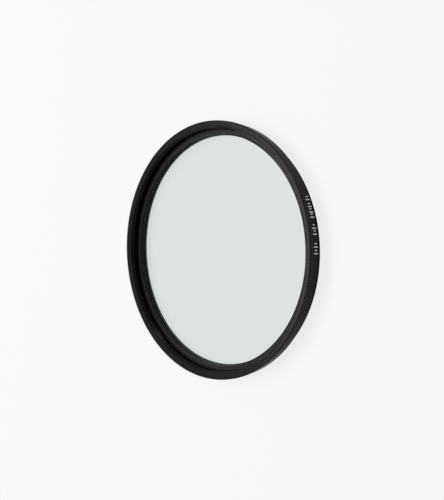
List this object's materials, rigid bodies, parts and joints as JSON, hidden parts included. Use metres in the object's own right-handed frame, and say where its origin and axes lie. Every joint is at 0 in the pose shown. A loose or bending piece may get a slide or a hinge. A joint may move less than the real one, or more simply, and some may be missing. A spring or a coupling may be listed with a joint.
{
  "type": "screw-in lens filter",
  "caption": "Round lens filter: knurled black metal frame with a male and a female filter thread, a coated glass disc and the ring that retains it.",
  "frame": {"origin": "on the lens axis, in the plane of the end of the male thread, which is the plane it lies on", "axes": "+Z is the lens axis and points out of the front face, away from the camera; X and Y lie in the plane of the glass, and the ring is round about Z"},
  "size_m": [0.0704, 0.0704, 0.006],
  "materials": {
    "frame_black": "black anodised, satin",
    "ring_black": "black anodised, matt",
    "coated_glass": "clear optical glass with an anti-reflection coating"
  },
  "bodies": {
    "root": {"filter_frame": "frame_black", "retaining_ring": "ring_black", "glass_disc": "coated_glass"}
  },
  "joints": []
}
